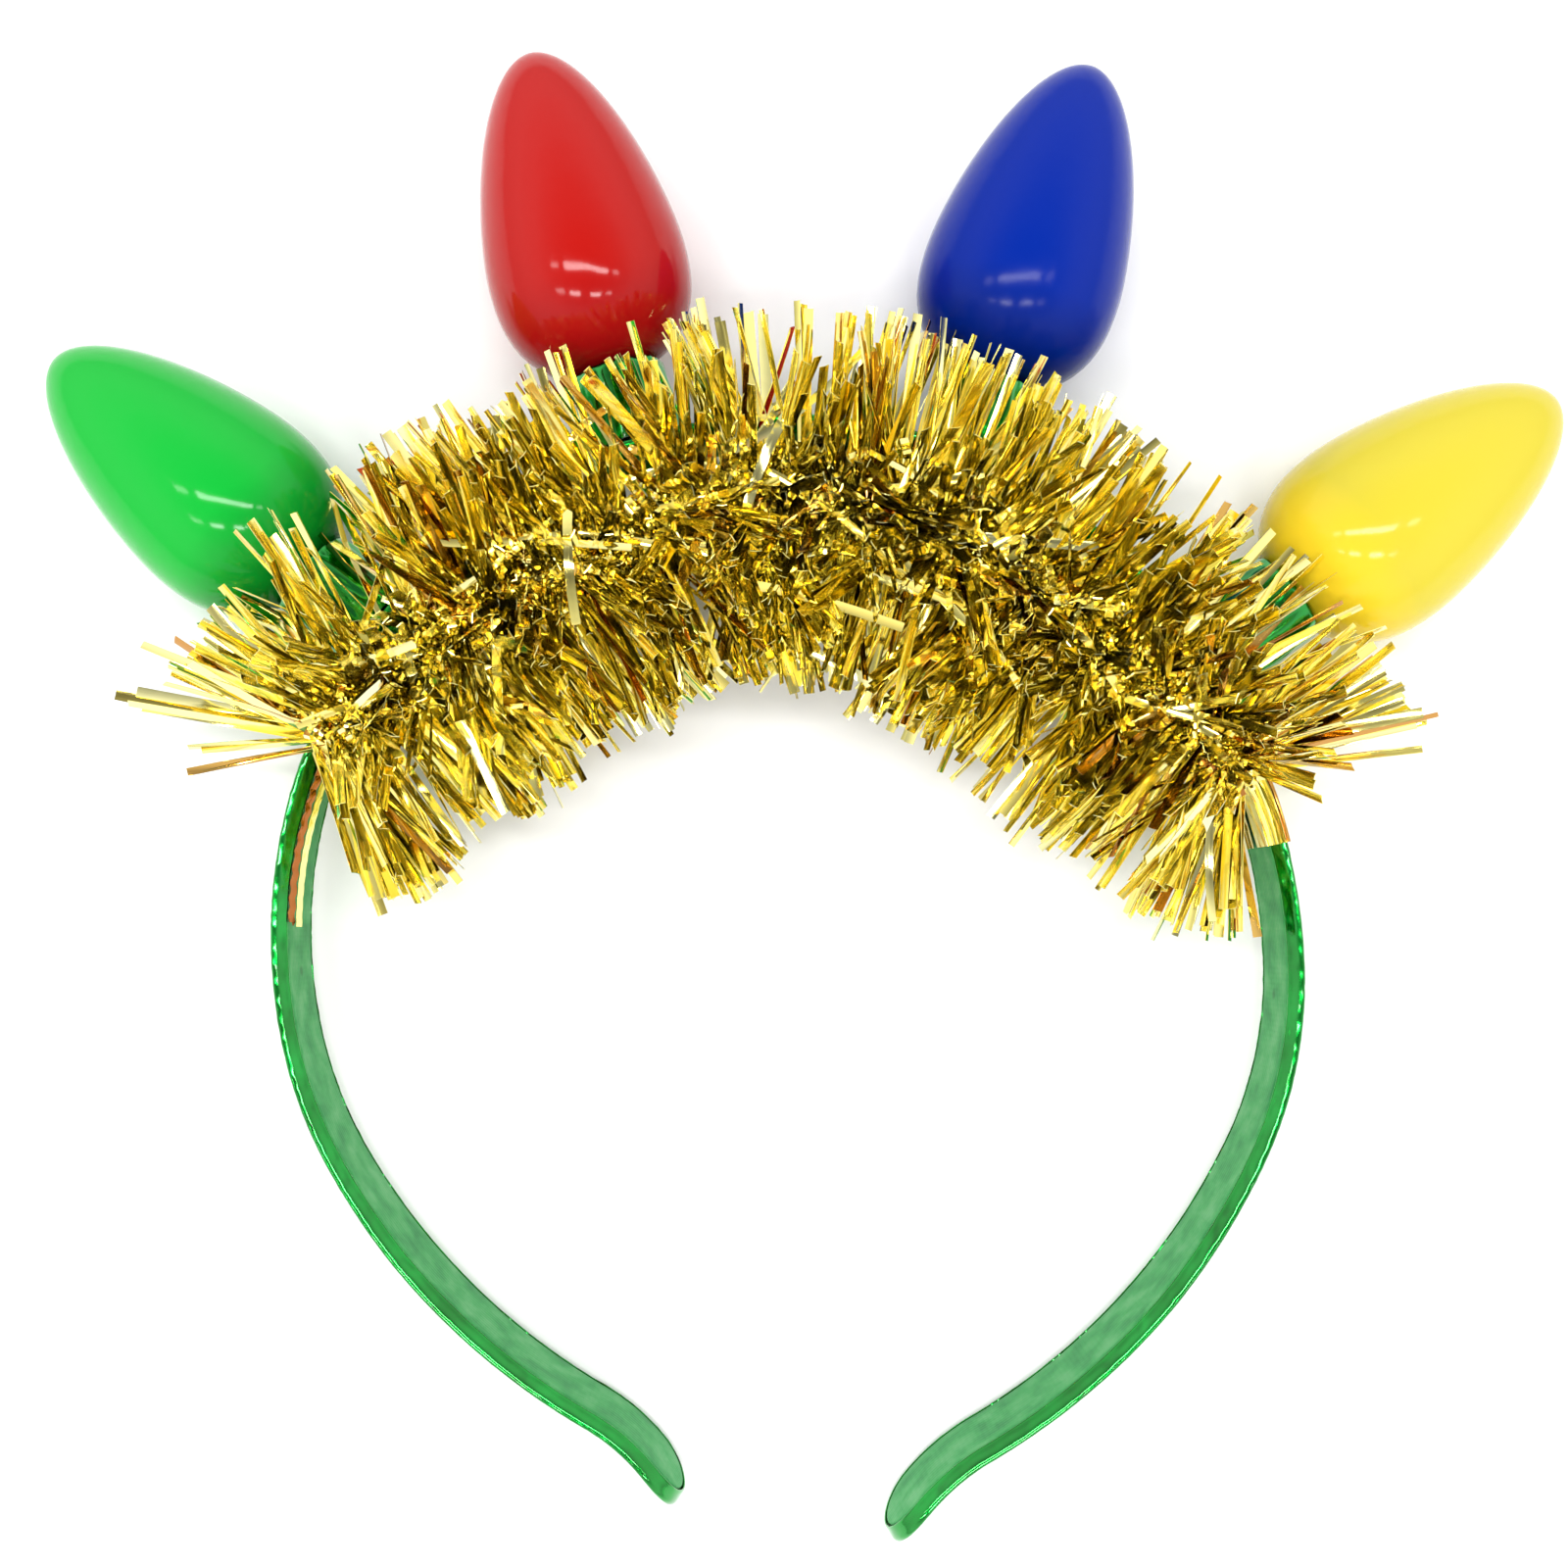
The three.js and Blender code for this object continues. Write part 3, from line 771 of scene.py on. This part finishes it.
def scatter_strips(rng, side):
    """Roots, aims and lengths of the strips on one half of the core, in locks that share an aim."""
    end = "left" if side < 0 else "right"
    turn, share, lean, strips, reach = spread_locks(rng, end)
    lock = np.repeat(np.arange(len(turn)), strips)
    count = len(lock)
    reach = reach[lock] * rng.uniform(*strip_scatter["reach"], count)
    facing = rng.uniform(0, 2 * math.pi, len(turn))[lock] + rng.normal(0, strip_scatter["facing"], count)
    turn = turn[lock] + rng.normal(0, strip_scatter["turn"], count)
    share = np.clip(share[lock] + rng.normal(0, strip_scatter["share"], count), end_gap[end], 1)
    lean = lean[lock] + rng.normal(0, strip_scatter["lean"], count)
    outer = np.cos(turn) > 0
    fan = np.where(outer, end_fan["outer"], end_fan["inner"])
    fan = (1 - 2 * share) ** fan_power * np.abs(np.cos(turn)) * fan
    limit = np.where(outer, end_limit["outer"], end_limit["inner"])
    lean = np.radians(np.where(lock < lock_count, np.maximum(lean - fan, -limit), lean))
    if side > 0:
        share, lean = 1 - share, -lean
    root, way, out = core_frame(share)
    radial = np.cos(turn)[:, None] * out + np.sin(turn)[:, None] * np.array([0, 0, 1.0])
    aim = np.cos(lean)[:, None] * radial + np.sin(lean)[:, None] * way
    root = root + rng.normal(0, strip_scatter["root"], root.shape)
    length = strip_length * reach * (1 - upright_loss * np.sin(turn) ** 2)
    return root, aim, length, way, facing


def turn_faces(lines, ways, facing, twist):
    """The way that each strip's face looks along its length, turned more and more by its twist."""
    turn = facing[:, None] + twist[:, None] * np.linspace(0, 1, lines.shape[1])[None]
    gone = lines[:, -1] - lines[:, 0]
    side = np.cross(ways, gone)
    side /= np.linalg.norm(side, axis=1, keepdims=True) + 1e-12
    other = np.cross(gone, side)
    other /= np.linalg.norm(other, axis=1, keepdims=True) + 1e-12
    return np.cos(turn)[..., None] * side[:, None] + np.sin(turn)[..., None] * other[:, None]


def make_tinsel(material):
    """The standing strips, one piece for each half of the garland."""
    rng = np.random.default_rng(seeds["strips"])
    for name, side in (("tinsel_strips_left", -1), ("tinsel_strips_right", 1)):
        roots, aims, lengths, ways, facing = scatter_strips(rng, side)
        count = len(roots)
        lines = grow_strips(roots, aims, lengths)
        curl = rng.normal(0, strip_curl, (count, 3))
        lines = lines + curl[:, None] * (np.linspace(0, 1, lines.shape[1]) ** 2)[None, :, None]
        lines = push_clear(lines.reshape(-1, 3), strip_clearance).reshape(lines.shape)
        flats = turn_faces(lines, ways, facing, rng.normal(0, strip_twist, count))
        obj = strip_mesh(name, lines, flats, rng.uniform(*strip_widths, count), draw_shades(rng, count))
        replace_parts(lay_down(obj, material, "gold_foil"), "tinsel_garland")


def make_strays(material):
    """Loose strips that lie across the garland: those that the photograph shows, and more at random."""
    rng = np.random.default_rng(seeds["strays"])
    middle, way, out = core_frame(rng.uniform(*stray_shares, stray_count))
    middle = middle + rng.normal(0, stray_beside, stray_count)[:, None] * out
    middle[:, 2] += rng.uniform(*stray_heights, stray_count)
    turn = rng.uniform(*stray_turns, stray_count)
    heading = np.cos(turn)[:, None] * way + np.sin(turn)[:, None] * out
    length = strip_length * rng.uniform(*stray_lengths, stray_count)
    seen = np.array(seen_strays, dtype=float)
    middle = np.concatenate([middle, np.column_stack([seen[:, :2], np.full(len(seen), stray_height)])])
    aim = np.radians(seen[:, 2])
    heading = np.concatenate([heading, np.column_stack([np.cos(aim), np.sin(aim), 0 * aim])])
    length = np.concatenate([length, seen[:, 3]])
    heading[:, 2] += rng.normal(0, stray_slope, len(length))
    run = np.linspace(-0.5, 0.5, 5)
    lines = middle[:, None] + run[None, :, None] * (length[:, None] * heading)[:, None]
    lines = lines + rng.normal(0, stray_bow, middle.shape)[:, None] * (4 * run[None, :, None] ** 2)
    lines = push_clear(lines.reshape(-1, 3), strip_clearance).reshape(lines.shape)
    flats = np.broadcast_to([0, 0, 1.0], lines.shape) + rng.normal(0, stray_tumble, middle.shape)[:, None]
    widths = rng.uniform(*stray_widths, len(length))
    obj = strip_mesh("tinsel_strays", lines, flats, widths, draw_shades(rng, len(length)))
    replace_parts(lay_down(obj, material, "gold_foil"), "tinsel_garland")


def make_scraps(material):
    """Short crimped scraps caught round the core, which sparkle because each fold looks another way."""
    rng = np.random.default_rng(seeds["scraps"])
    middle, _, out = core_frame(rng.random(scrap_count))
    turn = rng.uniform(*scrap_turns, scrap_count)
    reach = np.abs(rng.normal(0, scrap_reach, scrap_count)) + scrap_start
    middle = middle + (reach * np.cos(turn))[:, None] * out
    middle[:, 2] += reach * np.sin(turn)
    heading = rng.normal(0, 1, (scrap_count, 3)) * scrap_lie
    heading /= np.linalg.norm(heading, axis=1, keepdims=True)
    face = rng.normal(0, scrap_tumble, (scrap_count, 3)) + [0, 0, 1.0]
    run = np.linspace(-0.5, 0.5, scrap_rows)
    fold = rng.uniform(*scrap_folds, scrap_count)[:, None] * (np.arange(scrap_rows) % 2 - 0.5)
    length = rng.uniform(*scrap_lengths, scrap_count)
    lines = middle[:, None] + run[None, :, None] * (length[:, None] * heading)[:, None]
    lines = lines + fold[..., None] * face[:, None]
    lines = push_clear(lines.reshape(-1, 3), strip_clearance).reshape(lines.shape)
    flats = np.broadcast_to(face[:, None], lines.shape)
    widths = rng.uniform(*scrap_widths, scrap_count)
    obj = strip_mesh("tinsel_crimped_scraps", lines, flats, widths, draw_shades(rng, scrap_count))
    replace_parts(lay_down(obj, material, "gold_foil"), "tinsel_garland")


def make_wrap(material):
    """Foil strips laid along the band at the garland's right end, all round it, and cut off straight."""
    rng = np.random.default_rng(seeds["wrap"])
    up = np.array([0, 0, 1.0])
    start = garland_reach - wrap_lead
    along = np.linspace(start, garland_reach + gap + wrap_length, wrap_rows)
    inward = on_hoop(along, 1, 0) - on_hoop(along, 0, 0)
    lines, flats = [], []
    for depth, across, turn, _, _ in wrap_strips:
        face = math.cos(math.radians(turn)) * up + math.sin(math.radians(turn)) * inward
        spread = rng.uniform(*wrap_rise) * np.clip(1 - (along - start) / wrap_spread, 0, 1) ** 2
        bulge = spread + rng.uniform(0, wrap_wave, len(along))
        lines.append(on_hoop(along, depth, across) + bulge[:, None] * face)
        flats.append(face)
    widths, tones = np.array(wrap_strips)[:, 3:].T
    obj = strip_mesh("foil_wrap", np.array(lines), np.array(flats), widths, tones)
    return lay_down(obj, material, "gold_foil", "tinsel_wrap")


def make_tail(material):
    """Two loose strips that lean on the lining side by side, the outer one crimped and coppery."""
    start = -garland_reach - tail_length - tail_overhang
    along = np.linspace(start, -garland_reach, tail_rows)
    inward = on_hoop(along, 1, 0) - on_hoop(along, 0, 0)
    climb = np.clip((along + garland_reach + tail_climb["length"]) / tail_climb["length"], 0, 1)
    lift = tail_climb["height"] * climb ** tail_climb["power"]
    loose = along < -garland_reach - tail_calm
    lines, flats = [], []
    for depth, across, cut, crimp, _, _ in tail_strips:
        spots = along.copy()
        spots[0] += cut
        wave = crimp * np.sin(2 * math.pi * (along - start) / crimp_step) * loose
        lines.append(on_hoop(spots, band_thickness + depth + wave, across + lift))
        flats.append(tail_face["inward"] * inward + tail_face["up"] * np.array([0, 0, 1.0]))
    widths, tones = np.array(tail_strips)[:, 4:].T
    obj = strip_mesh("tinsel_loose_strips", np.array(lines), np.array(flats), widths, tones)
    return lay_down(obj, material, "gold_foil", "tinsel_tail")


# Materials.

def linear(code):
    """The linear colour of an sRGB hex code."""
    parts = [int(code[i:i + 2], 16) / 255 for i in (1, 3, 5)]
    return (*[p / 12.92 if p <= 0.04045 else ((p + 0.055) / 1.055) ** 2.4 for p in parts], 1)


def add_node(tree, kind, settings=None, sockets=None):
    """Adds a node. Settings are its own properties or a ramp's stops, sockets are what feeds it."""
    made = tree.nodes.new(kind)
    for key, value in (settings or {}).items():
        if key == "stops":
            ramp = made.color_ramp.elements
            while len(ramp) < len(value):
                ramp.new(0.5)
            for stop, (place, code) in zip(ramp, value):
                stop.position = place
                stop.color = linear(code)
        else:
            setattr(made, key, value)
    for key, value in (sockets or {}).items():
        if isinstance(value, bpy.types.NodeSocket):
            tree.links.new(value, made.inputs[key])
        else:
            made.inputs[key].default_value = value
    return made


def new_material(name):
    """A material with only a surface shader: the material, its node tree and the shader."""
    material = bpy.data.materials.new(name)
    material.use_nodes = True
    tree = material.node_tree
    tree.nodes.clear()
    skin = add_node(tree, "ShaderNodeBsdfPrincipled")
    add_node(tree, "ShaderNodeOutputMaterial", sockets={"Surface": skin.outputs["BSDF"]})
    return material, tree, skin


def moulded_polyethylene(name, facts):
    # Blow moulded polyethylene, pigmented through: a glossy wax-like skin with slow ripples from the mould
    # and a fine parting line. Towards the neck its colour turns to painted shade, and for yellow to painted
    # light.
    material, tree, skin = new_material(f"moulded_polyethylene_{name}")
    local = add_node(tree, "ShaderNodeAttribute", {"attribute_name": "turned"}).outputs["Vector"]
    parts = add_node(tree, "ShaderNodeSeparateXYZ", sockets={"Vector": local})
    # Painted shade towards the neck, and painted light for yellow: the neck colour at the cup's rim runs into
    # the skin colour over the first 18 mm.
    depth = add_node(tree, "ShaderNodeMapRange", sockets={
        "Value": parts.outputs["Y"], "From Min": 0.0, "From Max": 18,
    })
    cloud = add_node(tree, "ShaderNodeTexNoise", sockets={"Vector": local, "Scale": 1 / 9, "Detail": 2.0})
    shade = add_node(tree, "ShaderNodeMath", {"operation": "MULTIPLY_ADD"}, {
        0: cloud.outputs["Fac"], 1: 0.25, 2: depth.outputs["Result"],
    })
    colour = add_node(tree, "ShaderNodeValToRGB", {"stops": [(0.1, facts["neck"]), (0.75, facts["skin"])]}, {
        "Fac": shade.outputs["Value"],
    })
    ripple = add_node(tree, "ShaderNodeTexNoise", sockets={"Vector": local, "Scale": 1 / 3.5, "Detail": 1.0})
    off_seam = add_node(tree, "ShaderNodeMath", {"operation": "ABSOLUTE"}, {0: parts.outputs["Z"]})
    seam = add_node(tree, "ShaderNodeMapRange", {"interpolation_type": "SMOOTHSTEP"}, {
        "Value": off_seam.outputs["Value"], "From Min": 0.0, "From Max": 0.2, "To Min": 1.0, "To Max": 0.0,
    })
    relief = add_node(tree, "ShaderNodeMath", {"operation": "MULTIPLY_ADD"}, {
        0: seam.outputs["Result"], 1: 0.6, 2: ripple.outputs["Fac"],
    })
    bump = add_node(tree, "ShaderNodeBump", sockets={
        "Height": relief.outputs["Value"], "Distance": 0.05 * mm, "Strength": 1.0,
    })
    for socket, source in (("Base Color", colour.outputs["Color"]), ("Normal", bump.outputs["Normal"])):
        tree.links.new(source, skin.inputs[socket])
    skin.inputs["Roughness"].default_value = facts["rough"]
    skin.inputs["IOR"].default_value = 1.5
    skin.inputs["Specular IOR Level"].default_value = facts["gloss"]
    skin.inputs["Subsurface Weight"].default_value = 0.15
    skin.inputs["Subsurface Radius"].default_value = (1, 0.6, 0.5)
    skin.inputs["Subsurface Scale"].default_value = 2 * mm
    return material


def metallised_film_green(name, pattern, crease_height):
    # Polyester film with a vacuum metal coat under green lacquer: mirror bright, tinted, and broken up by
    # fine creases. The clear lacquer on top keeps the strongest glints nearly white.
    material, tree, skin = new_material(name)
    local = add_node(tree, "ShaderNodeAttribute", {"attribute_name": pattern}).outputs["Vector"]
    crease = add_node(tree, "ShaderNodeTexNoise", {"noise_type": "RIDGED_MULTIFRACTAL"}, {
        "Vector": local, "Scale": 1 / 2.4, "Detail": 2.0,
    })
    tint = add_node(tree, "ShaderNodeTexNoise", sockets={"Vector": local, "Scale": 1 / 6, "Detail": 3.0})
    colour = add_node(tree, "ShaderNodeValToRGB", {"stops": [(0.3, "#04771f"), (0.7, "#0b9a34")]}, {
        "Fac": tint.outputs["Fac"],
    })
    bump = add_node(tree, "ShaderNodeBump", sockets={
        "Height": crease.outputs["Fac"], "Distance": crease_height * mm, "Strength": 0.6,
    })
    for socket, source in (("Base Color", colour.outputs["Color"]), ("Normal", bump.outputs["Normal"])):
        tree.links.new(source, skin.inputs[socket])
    skin.inputs["Metallic"].default_value = 1
    skin.inputs["Roughness"].default_value = 0.17
    skin.inputs["Coat Weight"].default_value = 0.8
    skin.inputs["Coat Roughness"].default_value = 0.06
    return material


def woven_polyester_ribbon():
    # Woven polyester ribbon, glued down: matt, with fine threads both ways and a mottle where the glue took.
    material, tree, skin = new_material("woven_polyester_ribbon")
    local = add_node(tree, "ShaderNodeAttribute", {"attribute_name": "flat"}).outputs["Vector"]
    mottle = add_node(tree, "ShaderNodeTexNoise", sockets={"Vector": local, "Scale": 1 / 3.5, "Detail": 4.0})
    colour = add_node(tree, "ShaderNodeValToRGB", {
        "stops": [(0.3, "#2b8547"), (0.5, "#3d9b54"), (0.7, "#5ba86a")],
    }, {"Fac": mottle.outputs["Fac"]})
    shade = colour.outputs["Color"]
    for spot in lining_specks:
        away = add_node(tree, "ShaderNodeVectorMath", {"operation": "DISTANCE"}, {0: local, 1: spot})
        edge = add_node(tree, "ShaderNodeMapRange", sockets={
            "Value": away.outputs["Value"], "From Min": 0.3, "From Max": 0.9, "To Min": 0.55, "To Max": 0.0,
        })
        shade = add_node(tree, "ShaderNodeMix", {"data_type": "RGBA"}, {
            "Factor": edge.outputs["Result"], "A": shade, "B": linear("#14502a"),
        }).outputs["Result"]
    waves = [add_node(tree, "ShaderNodeTexWave", {"bands_direction": way}, {
        "Vector": local, "Scale": 1 / lining_thread / 20 * math.pi, "Distortion": 0.4, "Detail": 1.0,
    }).outputs["Fac"] for way in ("X", "Y")]
    weave = add_node(tree, "ShaderNodeMath", {"operation": "ADD"}, {0: waves[0], 1: waves[1]})
    bump = add_node(tree, "ShaderNodeBump", sockets={
        "Height": weave.outputs["Value"], "Distance": 0.04 * mm, "Strength": 0.5,
    })
    for socket, source in (("Base Color", shade), ("Normal", bump.outputs["Normal"])):
        tree.links.new(source, skin.inputs[socket])
    skin.inputs["Roughness"].default_value = 0.8
    skin.inputs["Sheen Weight"].default_value = 0.08
    skin.inputs["Specular IOR Level"].default_value = 0.3
    return material


def metallised_film_gold():
    # Slit polyester film, metallised and lacquered gold: mirror bright, a few strips coppery, with faint
    # streaks along it from the slitting knives and slow ripples where it was handled.
    material, tree, skin = new_material("metallised_film_gold")
    shade = add_node(tree, "ShaderNodeAttribute", {"attribute_name": "shade"}).outputs["Fac"]
    slit = add_node(tree, "ShaderNodeAttribute", {"attribute_name": "slit"}).outputs["Vector"]
    colour = add_node(tree, "ShaderNodeValToRGB", {
        "stops": [(0.0, "#a8642c"), (0.12, "#fae478"), (0.5, "#fff08c"), (1.0, "#fff8b0")],
    }, {"Fac": shade})
    drawn = add_node(tree, "ShaderNodeMapping", {"vector_type": "POINT"}, {
        "Vector": slit, "Scale": (1 / 0.3, 1 / 6, 1),
    })
    streak = add_node(tree, "ShaderNodeTexNoise", sockets={
        "Vector": drawn.outputs["Vector"], "Scale": 1.0, "Detail": 1.0,
    })
    rough = add_node(tree, "ShaderNodeMapRange", sockets={
        "Value": streak.outputs["Fac"], "From Min": 0.3, "From Max": 0.7, "To Min": 0.05, "To Max": 0.16,
    })
    ripple = add_node(tree, "ShaderNodeTexNoise", sockets={"Vector": slit, "Scale": 1 / 2.5, "Detail": 1.0})
    relief = add_node(tree, "ShaderNodeMath", {"operation": "MULTIPLY_ADD"}, {
        0: streak.outputs["Fac"], 1: 0.1, 2: ripple.outputs["Fac"],
    })
    bump = add_node(tree, "ShaderNodeBump", sockets={
        "Height": relief.outputs["Value"], "Distance": 0.025 * mm, "Strength": 1.0,
    })
    for socket, source in (
        ("Base Color", colour.outputs["Color"]),
        ("Roughness", rough.outputs["Result"]),
        ("Normal", bump.outputs["Normal"]),
    ):
        tree.links.new(source, skin.inputs[socket])
    skin.inputs["Metallic"].default_value = 1
    skin.inputs["Coat Weight"].default_value = 0.25
    skin.inputs["Coat Roughness"].default_value = 0.05
    return material


def matt_paper():
    # Matt white paper under the headband: almost no gloss and a faint tooth.
    material, tree, skin = new_material("matt_paper")
    local = add_node(tree, "ShaderNodeTexCoord").outputs["Object"]
    tooth = add_node(tree, "ShaderNodeTexNoise", sockets={"Vector": local, "Scale": 1 / (0.8 * mm)})
    bump = add_node(tree, "ShaderNodeBump", sockets={
        "Height": tooth.outputs["Fac"], "Distance": 0.02 * mm, "Strength": 0.3,
    })
    tree.links.new(bump.outputs["Normal"], skin.inputs["Normal"])
    skin.inputs["Base Color"].default_value = linear("#fafafa")
    skin.inputs["Roughness"].default_value = 0.9
    return material


# The studio: the photograph's camera, a pale floor, two rows of lamps overhead and a soft room.

camera_place = Vector((-2.16, -31.63, 286.14)) * mm
camera_turn = [math.radians(a) for a in (6.492, -0.385, 1.731)]
camera_lens = 49.07
floor_size = 6
lamp_height = 1.0
lamp_depth = 0.085

# The room's tones from below to above, and its brightness.
room_tones = [(0.0, "#b0b0b0"), (0.35, "#e0e0e0"), (0.6, "#dcdcdc"), (0.8, "#a0a0a0"), (1.0, "#484848")]
room_brightness = 1.85

# Lamps: y of the row, x of both ends, and brightness.
lamp_rows = (
    (0.02, -0.84, -0.62, 11),
    (0.02, -0.47, 0.37, 24),
    (0.02, 0.49, 0.65, 11),
    (-0.44, -0.8, -0.58, 11),
    (-0.44, -0.43, -0.18, 28),
    (-0.44, 0.03, 0.27, 28),
    (-0.44, 0.39, 0.55, 11),
)


def make_floor():
    bpy.ops.mesh.primitive_plane_add(size=floor_size)
    floor = bpy.context.active_object
    floor.name = "floor"
    floor.data.materials.append(matt_paper())


def make_camera():
    """The camera that took the photograph."""
    bpy.ops.object.camera_add(location=camera_place, rotation=camera_turn)
    camera = bpy.context.active_object
    camera.data.lens = camera_lens
    camera.data.sensor_width = 36
    camera.data.clip_start = 10 * mm
    bpy.context.scene.camera = camera


def make_lamps():
    """Flat lamps that all have the same depth and shine straight down."""
    for y, left, right, brightness in lamp_rows:
        bpy.ops.object.light_add(type="AREA", location=((left + right) / 2, y, lamp_height))
        lamp = bpy.context.active_object.data
        lamp.shape = "RECTANGLE"
        lamp.size = right - left
        lamp.size_y = lamp_depth
        lamp.energy = brightness * math.pi * lamp.size * lamp.size_y


def make_room():
    """An even room that is darker overhead, and colours shown as they are."""
    world = bpy.data.worlds.new("soft_room")
    bpy.context.scene.world = world
    world.use_nodes = True
    tree = world.node_tree
    tree.nodes.clear()
    way = add_node(tree, "ShaderNodeTexCoord").outputs["Generated"]
    parts = add_node(tree, "ShaderNodeSeparateXYZ", sockets={"Vector": way})
    sky = add_node(tree, "ShaderNodeValToRGB", {"stops": room_tones}, {"Fac": parts.outputs["Z"]})
    glow = add_node(tree, "ShaderNodeBackground", sockets={
        "Color": sky.outputs["Color"], "Strength": room_brightness,
    })
    add_node(tree, "ShaderNodeOutputWorld", sockets={"Surface": glow.outputs["Background"]})
    bpy.context.scene.view_settings.view_transform = "Standard"


make_floor()
make_camera()
make_lamps()
make_room()
band_foil = metallised_film_green("metallised_film_green_band", "flat", crease_heights["band"])
cup_foil = metallised_film_green("metallised_film_green_cups", "turned", crease_heights["cups"])
gold = metallised_film_gold()
make_headband(band_foil)
make_lining(woven_polyester_ribbon())
for colour_name, bulb_facts in bulbs.items():
    plastic = moulded_polyethylene(colour_name, bulb_facts)
    make_bulb(colour_name, bulb_facts, plastic)
    make_cup(colour_name, bulb_facts, cup_foil)
make_tinsel(gold)
make_strays(gold)
make_scraps(gold)
make_wrap(gold)
make_tail(gold)
